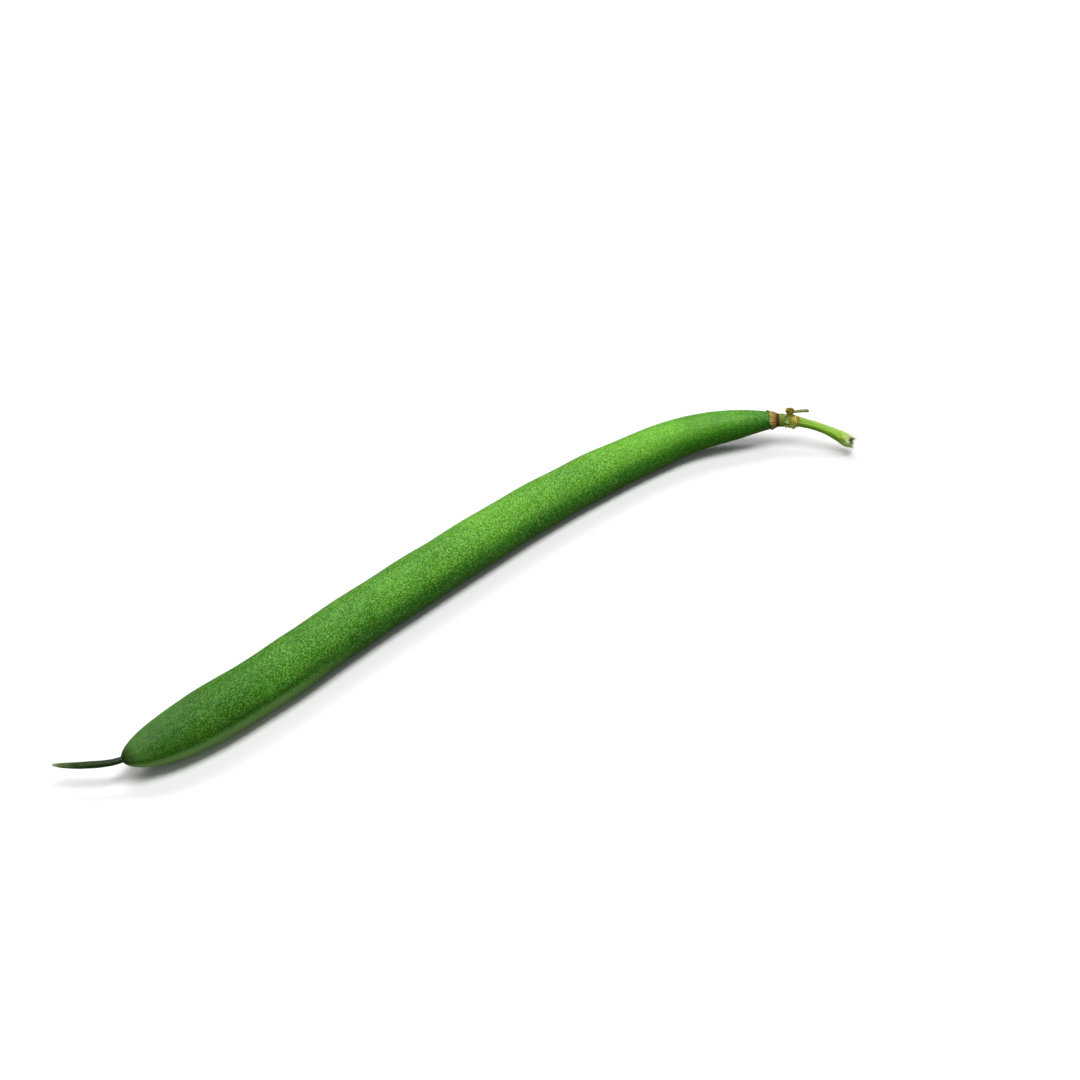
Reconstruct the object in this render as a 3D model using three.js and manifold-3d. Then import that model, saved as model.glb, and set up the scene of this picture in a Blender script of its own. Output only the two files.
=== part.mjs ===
// One green bean as picked: the pod with its beak, the dried calyx, the broken stalk and a withered bud.
// Millimetres, +Z up. It lies on its flank, with the beak towards -X and the stalk towards +X.
// The origin is on the surface it lies on, under the middle of its bounding box.
import * as THREE from "three";
import { mergeVertices } from "three/addons/utils/BufferGeometryUtils.js";
import Module from "manifold-3d";

// Lengths along the bean's axis. Position 0 is the blossom end, where the beak joins the pod.
const BEAK_LENGTH = 10.3;
const POD_LENGTH = 138.6;
const CALYX_LENGTH = 1.5;
const STALK_LENGTH = 13;
const JOINT_GAP = 0.3; // between pieces that meet

// How the axis runs, as [position, value] stations: its heading seen from above, in degrees from +X,
// and its height over the surface.
const START = new THREE.Vector2(-76.5, 8.3); // the tip of the beak
const HEADING = [
  [-10.3, -57], [-6, -43], [-2, -34], [0, -12], [5, -3], [12, 1.5], [25, 5], [36, 8.5], [46, 7],
  [60, 6], [78, 5.2], [95, 1.5], [112, -3.8], [120, -10], [127, -24], [132, -30], [138, -36],
  [141, -45], [144, -53], [148, -61], [153.7, -70],
];
const HEIGHT = [
  [-10.3, 3.4], [-5, 3.8], [0, 4.05], [14, 4], [45, 4.02], [70, 3.93], [92, 3.76],
  [108, 3.6], [116, 3.6], [126, 4], [138, 4.5], [144, 4.5], [149, 3.65], [153.7, 2.3],
];
const AXIS_STEP = 0.1;

// Pod: its girth as [position, diameter] stations, and what shapes its section.
const POD_GIRTH = [
  [0, 8.4], [16, 8.6], [45, 8.65], [70, 8.45], [90, 8.15], [106, 7.7], [116, 7.2], [124, 6.5],
  [130, 5.75], [134.5, 4.7], [138.6, 3.15],
];
const BLUNT_END = 16; // the stretch over which the blossom end rounds off
const BEAK_GIRTH = [[-10.3, 0.44], [-8.6, 0.8], [-5.2, 1.06], [-2, 1.02], [0, 0.94]];
const STIPE_LENGTH = 0.8; // the pod's own short foot inside the calyx
const STIPE_GIRTH = 1.5;
const SEAM_TO_SEAM = 1.03; // width across the two seams, over the mean diameter
const ROLL = THREE.MathUtils.degToRad(7); // the pod lies with its front seam raised this much
const SEAM_DEPTH = 0.17;
const SEAM_WIDTH = 1.1;
const FIRST_SEED = 18;
const SEED_SPACING = 14.2;
const SEED_COUNT = 8;
const SEED_SWELL = 0.16; // how far the valves bulge over a seed
const SEED_REACH = 4.6;

// Calyx: a dried cup with five pointed lobes round the pod's foot.
const CALYX_GIRTH = 3.1;
const CALYX_WALL = 0.5;
const LOBE_COUNT = 5;
const LOBE_LENGTH = 0.65;

// Stalk: girth as [distance from the calyx, diameter] stations. It is lumpy at the node where the bean's
// own short stalk leaves the main one, and torn off at its end.
const STALK_GIRTH = [
  [0, 2.3], [0.9, 2.3], [1.6, 2.1], [2.3, 2.15], [2.9, 1.95], [3.4, 1.75], [6, 1.56], [8.6, 1.62],
  [10.4, 1.9], [12.2, 2.25], [13, 1.8],
];
const STALK_RIBS = 5;
const NODE_SCALES = [[1.2, 150, 1], [2.4, 185, 1.15], [1.3, -60, 0.9]]; // [distance, degrees from up, size]
const FIBRE_COUNT = 4;
const FIBRE_LENGTH = 0.6;

// Withered bud: a knot on a spur of the node, and its thin dry twig.
const SPUR_AT = 1.75;
const SPUR_HEIGHT = 1.15;
const KNOT_SIZE = 1.2;
const TWIG_LENGTH = 2.9;
const TWIG_GIRTH = 0.62;
const TWIG_DROP = 0.25; // how far below the knot's middle it leaves

const wasm = await Module();
wasm.setup();

// The value at position s on the smooth line through [position, value] stations.
function through(stations, s) {
  const last = stations.length - 1;
  const slope = (i) => {
    const before = stations[Math.max(i - 1, 0)];
    const after = stations[Math.min(i + 1, last)];
    return (after[1] - before[1]) / (after[0] - before[0]);
  };
  let i = 0;
  while (i < last - 1 && s > stations[i + 1][0]) i++;
  const [from, a] = stations[i];
  const [to, b] = stations[i + 1];
  const span = to - from;
  const t = THREE.MathUtils.clamp((s - from) / span, 0, 1);
  const ease = t * t * (3 - 2 * t);
  return a * (1 - ease) + b * ease
    + span * slope(i) * t * (1 - t) * (1 - t) - span * slope(i + 1) * t * t * (1 - t);
}

// The axis as closely spaced points, found by walking along its heading from the tip of the beak.
const calyxStart = POD_LENGTH + JOINT_GAP;
const stalkStart = calyxStart + CALYX_LENGTH + JOINT_GAP;
const axisPoints = [];
const walker = new THREE.Vector3(START.x, START.y, 0);
for (let s = -BEAK_LENGTH; s <= stalkStart + STALK_LENGTH + 1; s += AXIS_STEP) {
  walker.z = through(HEIGHT, s);
  axisPoints.push(walker.clone());
  const heading = THREE.MathUtils.degToRad(through(HEADING, s + AXIS_STEP / 2));
  walker.x += AXIS_STEP * Math.cos(heading);
  walker.y += AXIS_STEP * Math.sin(heading);
}

// The axis at position s: the point, its direction, and the section's side (towards +Y) and up.
function axisAt(s, roll = 0) {
  const place = (s + BEAK_LENGTH) / AXIS_STEP;
  const i = THREE.MathUtils.clamp(Math.floor(place), 1, axisPoints.length - 3);
  const point = axisPoints[i].clone().lerp(axisPoints[i + 1], place - i);
  const along = axisPoints[i + 2].clone().sub(axisPoints[i - 1]).normalize();
  const side = new THREE.Vector3(0, 0, 1).cross(along).normalize();
  const up = along.clone().cross(side);
  side.applyAxisAngle(along, -roll);
  up.applyAxisAngle(along, -roll);
  return { point, along, side, up };
}

// A closed tube: a cylinder whose rows go to the positions from..to and whose rim goes where
// skin(s, angle) says. Rows crowd towards both ends by the share given.
function tube(from, to, rows, sides, crowding, skin) {
  const geometry = new THREE.CylinderGeometry(1, 1, 1, sides, rows);
  const position = geometry.attributes.position;
  const vertex = new THREE.Vector3();
  for (let i = 0; i < position.count; i++) {
    vertex.fromBufferAttribute(position, i);
    const v = 0.5 - vertex.y;
    const s = from + (to - from) * (v - (crowding * Math.sin(2 * Math.PI * v)) / (2 * Math.PI));
    const outward = Math.min(Math.hypot(vertex.x, vertex.z), 1);
    const { centre, rim } = skin(s, Math.atan2(vertex.z, vertex.x));
    position.setXYZ(i, ...centre.lerp(rim, outward));
  }
  return bare(geometry);
}

// The geometry with shared vertices merged, and only their positions.
function bare(geometry) {
  geometry.deleteAttribute("normal");
  geometry.deleteAttribute("uv");
  return mergeVertices(geometry, 1e-3);
}

// Several closed geometries joined in one solid.
function joined(geometries) {
  const solids = geometries.map((geometry) => new wasm.Manifold(new wasm.Mesh({
    numProp: 3,
    vertProperties: new Float32Array(geometry.attributes.position.array),
    triVerts: new Uint32Array(geometry.index.array),
  })));
  const whole = solids.reduce((a, b) => a.add(b)).getMesh();
  const geometry = new THREE.BufferGeometry();
  geometry.setAttribute("position", new THREE.BufferAttribute(whole.vertProperties, 3));
  geometry.setIndex(new THREE.BufferAttribute(whole.triVerts, 1));
  return geometry;
}

const bell = (distance, width) => Math.exp(-((distance / width) ** 2));

// Half the pod's mean diameter, with the beak before it and the stipe after it.
function podRadius(s) {
  const beakBase = through(BEAK_GIRTH, 0) / 2;
  if (s <= 0) return through(BEAK_GIRTH, s) / 2;
  if (s > POD_LENGTH - 0.2) return STIPE_GIRTH / 2;
  const rounding = s < BLUNT_END ? Math.sqrt(1 - (1 - s / BLUNT_END) ** 2) : 1;
  return Math.hypot((through(POD_GIRTH, s) / 2) * rounding, beakBase);
}

// How far the valves swell over the seeds at position s.
function seedSwell(s) {
  let swell = 0;
  for (let seed = 0; seed < SEED_COUNT; seed++) {
    const uneven = 1 + 0.3 * Math.sin(seed * 2.4);
    swell += SEED_SWELL * uneven * bell(s - FIRST_SEED - seed * SEED_SPACING, SEED_REACH);
  }
  return swell;
}

// The pod's skin. Angle 0 and half a turn are the seams. What would be under the surface lies flat on it.
function podSkin(s, angle) {
  const { point, side, up } = axisAt(s, ROLL);
  const radius = podRadius(s);
  const inBody = THREE.MathUtils.smoothstep(s, 2, 14) * (1 - THREE.MathUtils.smoothstep(s, 122, 134));
  const flank = Math.abs(Math.sin(angle));
  const fromSeam = radius * Math.asin(Math.min(1, flank));
  const relief = inBody * (seedSwell(s) * flank ** 1.5 - SEAM_DEPTH * bell(fromSeam, SEAM_WIDTH));
  const rim = point.clone()
    .addScaledVector(side, (radius + relief) * SEAM_TO_SEAM * Math.cos(angle))
    .addScaledVector(up, ((radius + relief) / SEAM_TO_SEAM) * Math.sin(angle));
  rim.z = Math.max(rim.z, 0);
  return { centre: point, rim };
}

function podGeometry() {
  return tube(-BEAK_LENGTH, POD_LENGTH + STIPE_LENGTH, 118, 28, 0.72, podSkin);
}

// The calyx cup: a lathe profile from the socket's floor out round the mouth to the back, then pulled
// into lobes along its mouth and set on the axis.
function calyxGeometry() {
  const outer = CALYX_GIRTH / 2;
  const inner = outer - CALYX_WALL;
  const floor = STIPE_LENGTH + JOINT_GAP;
  const profile = [
    [0, floor], [inner, floor], [inner, 0.25], [outer - CALYX_WALL / 2, 0], [outer, 0.25],
    [outer * 0.97, CALYX_LENGTH * 0.5], [outer * 0.86, CALYX_LENGTH * 0.85],
    [outer * 0.76, CALYX_LENGTH], [0, CALYX_LENGTH],
  ].map(([radius, along]) => new THREE.Vector2(radius, along));
  const geometry = new THREE.LatheGeometry(profile, 6 * LOBE_COUNT);
  const position = geometry.attributes.position;
  for (let i = 0; i < position.count; i++) {
    const [x, y, z] = [position.getX(i), position.getY(i), position.getZ(i)];
    const lobe = Math.max(0, Math.cos(LOBE_COUNT * Math.atan2(z, x))) ** 1.5;
    const mouth = 1 - THREE.MathUtils.smoothstep(y, 0, 0.8);
    const flare = 1 + 0.12 * lobe * mouth;
    position.setXYZ(i, x * flare, y - LOBE_LENGTH * (lobe - 0.5) * mouth, z * flare);
  }
  const { point, along, side, up } = axisAt(calyxStart);
  geometry.applyMatrix4(new THREE.Matrix4().makeBasis(side.negate(), along, up));
  geometry.translate(point.x, point.y, point.z);
  return bare(geometry);
}

// The stalk's skin, with its last rows pulled out into torn fibres.
function stalkSkin(s, angle) {
  const { point, along, side, up } = axisAt(s);
  const run = s - stalkStart;
  const radius = (through(STALK_GIRTH, run) / 2) * (1 + 0.05 * Math.cos(STALK_RIBS * angle));
  const torn = THREE.MathUtils.smoothstep(run, STALK_LENGTH - 1.6, STALK_LENGTH);
  const rim = point.clone()
    .addScaledVector(side, radius * Math.cos(angle))
    .addScaledVector(up, radius * Math.sin(angle))
    .addScaledVector(along, torn * FIBRE_LENGTH * Math.cos(FIBRE_COUNT * angle + 0.6));
  return { centre: point.addScaledVector(along, -torn * 0.5), rim };
}

// A straight rod from one point to another.
function rod(from, to, girth, farGirth, sides) {
  const geometry = new THREE.CylinderGeometry(farGirth / 2, girth / 2, from.distanceTo(to), sides);
  const aim = to.clone().sub(from).normalize();
  geometry.applyQuaternion(new THREE.Quaternion().setFromUnitVectors(new THREE.Vector3(0, 1, 0), aim));
  const middle = from.clone().lerp(to, 0.5);
  return bare(geometry.translate(middle.x, middle.y, middle.z));
}

// A lump, as a ball squeezed to the three sizes.
function lump(middle, [x, y, z], detail) {
  const geometry = new THREE.IcosahedronGeometry(0.5, detail).scale(x, y, z);
  return bare(geometry.translate(middle.x, middle.y, middle.z));
}

const spur = axisAt(stalkStart + SPUR_AT);
const spurTip = spur.point.clone().addScaledVector(spur.up, SPUR_HEIGHT);

function stalkGeometry() {
  const stem = tube(stalkStart, stalkStart + STALK_LENGTH, 36, 15, 0.25, stalkSkin);
  const scales = NODE_SCALES.map(([run, degrees, size]) => {
    const { point, side, up } = axisAt(stalkStart + run);
    const turn = THREE.MathUtils.degToRad(degrees);
    const reach = through(STALK_GIRTH, run) / 2 - 0.1;
    point.addScaledVector(up, reach * Math.cos(turn)).addScaledVector(side, -reach * Math.sin(turn));
    return lump(point, [size, size, size * 0.8], 1);
  });
  return joined([stem, rod(spur.point, spurTip, 1.1, 0.7, 10), ...scales]);
}

function budGeometry() {
  const heart = spurTip.clone().addScaledVector(spur.up, JOINT_GAP + KNOT_SIZE * 0.42);
  const root = heart.clone().addScaledVector(spur.up, -TWIG_DROP);
  const aim = spur.along.clone().addScaledVector(spur.side, 0.12).normalize();
  const tip = root.clone().addScaledVector(aim, TWIG_LENGTH);
  const knot = lump(heart, [KNOT_SIZE * 1.1, KNOT_SIZE, KNOT_SIZE * 0.84], 2);
  return joined([knot, rod(root, tip, TWIG_GIRTH, TWIG_GIRTH * 0.97, 8)]);
}

const bean = new THREE.Group();
bean.name = "green_bean";
function add(name, geometry, color, roughness) {
  const mesh = new THREE.Mesh(geometry, new THREE.MeshStandardMaterial({ color, roughness, metalness: 0 }));
  mesh.name = name;
  bean.add(mesh);
}
add("pod", podGeometry(), "#4f8f2c", 0.45);
add("calyx", calyxGeometry(), "#8c7350", 0.9);
add("stalk", stalkGeometry(), "#8fb84a", 0.6);
add("bud", budGeometry(), "#8a7444", 0.9);

export default bean;
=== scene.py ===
# One fresh green bean on a pale table: the pod with its beak, the calyx, the stalk and a withered bud.
import math

import bmesh
import bpy
import numpy as np
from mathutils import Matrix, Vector, noise


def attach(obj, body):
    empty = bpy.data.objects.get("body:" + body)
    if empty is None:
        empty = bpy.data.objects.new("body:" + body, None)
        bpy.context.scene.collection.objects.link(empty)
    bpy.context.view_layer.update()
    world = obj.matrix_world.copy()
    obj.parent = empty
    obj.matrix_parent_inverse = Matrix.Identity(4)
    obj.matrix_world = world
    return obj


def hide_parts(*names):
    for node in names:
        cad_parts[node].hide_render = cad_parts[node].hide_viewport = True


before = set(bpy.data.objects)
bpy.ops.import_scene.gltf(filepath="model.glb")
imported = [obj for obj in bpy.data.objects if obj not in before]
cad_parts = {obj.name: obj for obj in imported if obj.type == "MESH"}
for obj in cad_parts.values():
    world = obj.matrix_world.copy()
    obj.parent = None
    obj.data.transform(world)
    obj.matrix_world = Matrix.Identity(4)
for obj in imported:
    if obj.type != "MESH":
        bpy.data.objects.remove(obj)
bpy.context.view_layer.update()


# The view. The bean lies on a smooth white table top. A long soft box hangs over it and another one stands
# behind it. A weak one at the front left and a small low one beside the blossom end lift the dark side. The
# walls round them are dim.
CAMERA_AZIMUTH = math.radians(-43)
CAMERA_ELEVATION = math.radians(35)
CAMERA_DISTANCE = 0.42
CAMERA_AIM = Vector((0.0177, 0.0052, 0))
LENS = 84
SENSOR = 36
NEAREST_SEEN = 0.01


def direction(azimuth, elevation):
    """The direction from the object towards a place at that azimuth and elevation, in radians."""
    level = math.cos(elevation)
    return Vector((math.sin(azimuth) * level, -math.cos(azimuth) * level, math.sin(elevation)))


def placed(name, data, aim, azimuth, elevation, distance):
    """Adds an object that looks at aim from that azimuth, elevation and distance."""
    made = bpy.data.objects.new(name, data)
    towards = direction(azimuth, elevation)
    made.location = aim + distance * towards
    made.rotation_euler = towards.to_track_quat("Z", "Y").to_euler()
    bpy.context.scene.collection.objects.link(made)
    return made


camera_data = bpy.data.cameras.new("camera")
camera_data.lens = LENS
camera_data.sensor_width = SENSOR
camera_data.clip_start = NEAREST_SEEN
camera = placed("camera", camera_data, CAMERA_AIM, CAMERA_AZIMUTH, CAMERA_ELEVATION, CAMERA_DISTANCE)
bpy.context.scene.camera = camera
bpy.context.scene.view_settings.view_transform = "Standard"


def linear(colour):
    """An sRGB hex colour as linear red, green, blue and alpha."""
    channels = [int(colour[i:i + 2], 16) / 255 for i in (1, 3, 5)]
    return (*[c / 12.92 if c <= 0.04045 else ((c + 0.055) / 1.055) ** 2.4 for c in channels], 1)


def node(tree, kind, inputs=None, **settings):
    """Adds a shader node. An input takes a number, a colour, a socket or a node, for its first output."""
    made = tree.nodes.new("ShaderNode" + kind)
    for stop, (place, colour) in enumerate(settings.pop("stops", [])):
        elements = made.color_ramp.elements
        element = elements[stop] if stop < len(elements) else elements.new(place)
        element.position = place
        element.color = colour
    for name, value in settings.items():
        setattr(made, name, value)
    for name, value in (inputs or {}).items():
        if isinstance(value, bpy.types.Node):
            value = value.outputs[0]
        if isinstance(value, bpy.types.NodeSocket):
            tree.links.new(value, made.inputs[name])
        else:
            made.inputs[name].default_value = value
    return made


def material(name):
    """A new material with its node tree and its shader."""
    made = bpy.data.materials.new(name)
    made.use_nodes = True
    return made, made.node_tree, made.node_tree.nodes["Principled BSDF"]


# A lacquered board: even, white and dull. It shows white, but sends up less light than white would, and
# greener, because the bean's lower flank is dark and deep green in the photograph.
BOARD_WHITE = "#f9f9f9"
BOARD_GIVING_BACK = "#738258"
white_lacquer, tree, shader = material("white lacquer")
seen = node(tree, "LightPath").outputs["Is Camera Ray"]
board = node(tree, "MixRGB", {
    "Fac": seen, "Color1": linear(BOARD_GIVING_BACK), "Color2": linear(BOARD_WHITE),
})
tree.links.new(board.outputs[0], shader.inputs["Base Color"])
shader.inputs["Roughness"].default_value = 0.9
shader.inputs["Specular IOR Level"].default_value = 0.1

TABLE_RADIUS = 3
TABLE_CORNERS = 96
outline = bmesh.new()
bmesh.ops.create_circle(outline, cap_ends=True, segments=TABLE_CORNERS, radius=TABLE_RADIUS)
table_mesh = bpy.data.meshes.new("table")
outline.to_mesh(table_mesh)
outline.free()
table_mesh.materials.append(white_lacquer)
table = bpy.data.objects.new("table", table_mesh)
bpy.context.scene.collection.objects.link(table)

SOFT_BOXES = [
    # name, where it aims along X, azimuth, elevation, distance, width, height, watts
    ("soft box above", 0, 0, 82, 1.8, 1.8, 0.7, 29),
    ("soft box front left", 0, -55, 38, 2.0, 1.0, 1.0, 2),
    ("soft box behind", 0, 155, 50, 2.0, 1.6, 0.7, 15),
    ("small box by the blossom end", -0.074, -30, 5, 0.12, 0.08, 0.02, 0.02),
]
AIM_HEIGHT = 0.004
WALL_WHITE = "#ffffff"
WALL_LIGHT = 0.14
for name, aim_x, azimuth, elevation, distance, width, height, watts in SOFT_BOXES:
    lamp = bpy.data.lights.new(name, "AREA")
    lamp.shape = "RECTANGLE"
    lamp.size = width
    lamp.size_y = height
    lamp.energy = watts
    aim = Vector((aim_x, 0, AIM_HEIGHT))
    box = placed(name, lamp, aim, math.radians(azimuth), math.radians(elevation), distance)
    box.visible_camera = False

world = bpy.data.worlds.new("studio walls")
world.use_nodes = True
walls = world.node_tree.nodes["Background"]
walls.inputs["Color"].default_value = linear(WALL_WHITE)
walls.inputs["Strength"].default_value = WALL_LIGHT
bpy.context.scene.world = world


# The pod: two valves grown together along a front and a back seam, as one fleshy tube, with the dead style
# of the flower as a thin beak. The seeds press it out a little. It lies on its flank and flattens there.
# All the pieces grew along one axis, whose position 0 is where the beak joins the pod. Sizes are in mm.
MM = 0.001
BEAK_LENGTH = 10.3
POD_LENGTH = 138.6
AXIS_LENGTH = 155
START = (-76.5, 8.3)  # the tip of the beak
HEADING = [
    (-10.3, -57), (-6, -43), (-2, -34), (0, -12), (5, -3), (12, 1.5), (25, 5), (36, 8.5), (46, 7),
    (60, 6), (78, 5.2), (95, 1.5), (112, -3.8), (120, -10), (127, -24), (132, -30), (138, -36),
    (141, -45), (144, -53), (148, -61), (153.7, -70),
]
HEIGHT = [
    (-10.3, 3.4), (-5, 3.8), (0, 4.05), (14, 4), (45, 4.02), (70, 3.93), (92, 3.76),
    (108, 3.6), (116, 3.6), (126, 4), (138, 4.5), (144, 4.5), (149, 3.65), (153.7, 2.3),
]
AXIS_STEP = 0.1
POD_GIRTH = [
    (0, 8.4), (16, 8.6), (45, 8.65), (70, 8.45), (90, 8.15), (106, 7.7), (116, 7.2), (124, 6.5),
    (130, 5.75), (134.5, 4.7), (138.6, 3.15), (139.3, 2.7),
]
POD_FOOT = 139.25  # where the fleshy pod ends inside the calyx, on its foot
BLUNT_END = 16
BEAK_GIRTH = [(-10.3, 0.44), (-8.6, 0.8), (-5.2, 1.06), (-2, 1.02), (0, 0.94)]
STIPE_LENGTH = 0.8
STIPE_GIRTH = 1.5
SEAM_TO_SEAM = 1.03
ROLL = math.radians(7)
BEAK_ENDS = (-0.6, 0.2)  # each of these spans is where something comes or goes along the axis
SKIN_BEGINS = (1, 8)
SKIN_ENDS = (POD_LENGTH - 4, POD_LENGTH - 1)
BODY_BEGINS = (2, 14)
BODY_ENDS = (122, 134)
NECK_BEGINS = (112, 132)
NECK_ENDS = (POD_LENGTH - 0.6, POD_LENGTH - 0.1)
SEAM_DEPTH = 0.08
SEAM_WIDTH = 0.7
SEAM_FLATTENS = (30, 60)
SEAM_LOSS = 0.65  # the share of its depth that a seam loses there
CORD_HEIGHT = 0.012  # the two fine cords that edge a seam
CORD_WIDTH = 0.35
CORD_FROM_SEAM = 0.6
FIRST_SEED = 18
SEED_SPACING = 14.2
SEED_COUNT = 8
SEED_SWELL = 0.16
SEED_UNEVENNESS = 0.3
SEED_REACH = 4.6
BUMP_HEIGHT = 0.045
BUMP_SIZE = 8
DIMPLE_HEIGHT = 0.02
DIMPLE_SIZE = 2.6
RIDGE_HEIGHT = 0.012
NECK_RIDGE_HEIGHT = 0.05
RIDGE_SIZE = (16, 0.8, 0.8)
PUCKER_AT = 0.9  # pleats round the base of the beak
PUCKER_REACH = 1.1
PUCKER_DEPTH = 0.06
PUCKER_COUNT = 9
BEAK_WRINKLE = 0.1  # shares of the beak's radius
BEAK_WRINKLE_SIZE = (2.5, 0.4, 0.4)
BEAK_RIB = 0.06
BEAK_RIBS = 5
POD_ROWS = 610
POD_COLUMNS = 160
ROW_CROWDING = 0.5
COLUMN_CROWDING = 0.25


def through(stations, s):
    """The values at positions s on the smooth line through (position, value) stations."""
    places, values = np.array(stations, float).T
    at = np.arange(len(places))
    before = np.maximum(at - 1, 0)
    after = np.minimum(at + 1, at[-1])
    slopes = (values[after] - values[before]) / (places[after] - places[before])
    i = np.clip(np.searchsorted(places, s) - 1, 0, len(places) - 2)
    span = places[i + 1] - places[i]
    t = np.clip((s - places[i]) / span, 0, 1)
    ease = t * t * (3 - 2 * t)
    straight = values[i] * (1 - ease) + values[i + 1] * ease
    return straight + span * slopes[i] * t * (1 - t) ** 2 - span * slopes[i + 1] * t * t * (1 - t)


def unit(vectors):
    """The vectors made 1 long."""
    return vectors / np.linalg.norm(vectors, axis=-1, keepdims=True)


# The axis as closely spaced points, found by walking along its heading from the tip of the beak.
axis_steps = np.arange(-BEAK_LENGTH, AXIS_LENGTH, AXIS_STEP)
heading = np.radians(through(HEADING, axis_steps + AXIS_STEP / 2))
strides = AXIS_STEP * np.stack([np.cos(heading), np.sin(heading)], axis=1)
footprints = np.array(START) + np.cumsum(strides, axis=0) - strides
axis_points = np.column_stack([footprints, through(HEIGHT, axis_steps)])
axis_directions = unit(np.gradient(axis_points, axis=0))


def axis_at(s, roll=0.0):
    """The axis at positions s: its points, its direction, and the section's side (towards +Y) and up."""
    point = np.stack([np.interp(s, axis_steps, axis_points[:, k]) for k in range(3)], axis=-1)
    along = unit(np.stack([np.interp(s, axis_steps, axis_directions[:, k]) for k in range(3)], axis=-1))
    side = unit(np.cross((0, 0, 1), along))
    up = np.cross(along, side)
    rolled_side = side * math.cos(roll) - up * math.sin(roll)
    rolled_up = up * math.cos(roll) + side * math.sin(roll)
    return point, along, rolled_side, rolled_up


def step(s, start, end):
    """0 before start, 1 after end, and a smooth change between them."""
    t = np.clip((s - start) / (end - start), 0, 1)
    return t * t * (3 - 2 * t)


def bell(distance, width):
    """1 at no distance, and less to both sides, within about the width."""
    return np.exp(-(distance / width) ** 2)


def wander(points, size):
    """Smooth random heights between -1 and 1 over points, in bumps about size across."""
    scaled = (points / np.array(size)).reshape(-1, 3)
    return np.array([noise.noise(Vector(p)) for p in scaled]).reshape(points.shape[:-1])


def rows_between(start, end, count, crowding):
    """Positions from start to end, which crowd towards both ends by the share given."""
    v = np.linspace(0, 1, count)
    return start + (end - start) * (v - crowding * np.sin(2 * np.pi * v) / (2 * np.pi))


def straightened(s, radius, angle):
    """Where a point would be if the axis were straight, which patterns in the skin follow."""
    s, radius, angle = np.broadcast_arrays(s, radius, angle)
    return np.stack([s, radius * np.cos(angle), radius * np.sin(angle)], axis=-1)


def closed_skin(grid, first, last):
    """Points and faces of a skin over rows of points, closed by a fan to a middle point at both ends."""
    rows, columns = grid.shape[:2]
    points = np.concatenate([grid.reshape(-1, 3), [first, last]])
    start = np.arange(columns)
    next_start = (start + 1) % columns
    band = np.stack([start, next_start, next_start + columns, start + columns], axis=1)
    faces = []
    for row in range(rows - 1):
        faces += (band + row * columns).tolist()
    end = (rows - 1) * columns
    faces += [(rows * columns, b, a) for a, b in zip(start.tolist(), next_start.tolist())]
    faces += [(rows * columns + 1, end + a, end + b) for a, b in zip(start.tolist(), next_start.tolist())]
    return points, faces


def piece(name, points, faces, masks, surface, node_name):
    """Adds a smooth piece, in mm, that stands for a node of the frame. Masks are named values by point."""
    mesh = bpy.data.meshes.new(name)
    mesh.from_pydata((np.array(points) * MM).tolist(), [], faces)
    for mask, values in masks.items():
        values = np.array(values, np.float32)
        kind, field = ("FLOAT_VECTOR", "vector") if values.ndim == 2 else ("FLOAT", "value")
        mesh.attributes.new(mask, kind, "POINT").data.foreach_set(field, values.ravel())
    mesh.polygons.foreach_set("use_smooth", [True] * len(mesh.polygons))
    mesh.materials.append(surface)
    made = bpy.data.objects.new(name, mesh)
    bpy.context.scene.collection.objects.link(made)
    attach(made, "root")
    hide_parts(node_name)


def pod_radius(s):
    """Half the pod's mean diameter, with the beak before it and the stipe after it."""
    beak_base = BEAK_GIRTH[-1][1] / 2
    rounding = np.sqrt(np.clip(1 - (1 - np.minimum(s, BLUNT_END) / BLUNT_END) ** 2, 0, 1))
    body = np.hypot(through(POD_GIRTH, s) / 2 * rounding, beak_base)
    radius = np.where(s <= 0, through(BEAK_GIRTH, s) / 2, body)
    return np.where(s > POD_FOOT, STIPE_GIRTH / 2, radius)


def seed_swell(s):
    """How far the valves swell over the seeds at position s."""
    seeds = np.arange(SEED_COUNT)
    swell = SEED_SWELL * (1 + SEED_UNEVENNESS * np.sin(seeds * 2.4))
    from_seed = s[..., None] - FIRST_SEED - seeds * SEED_SPACING
    return (swell * bell(from_seed, SEED_REACH)).sum(-1)


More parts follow.
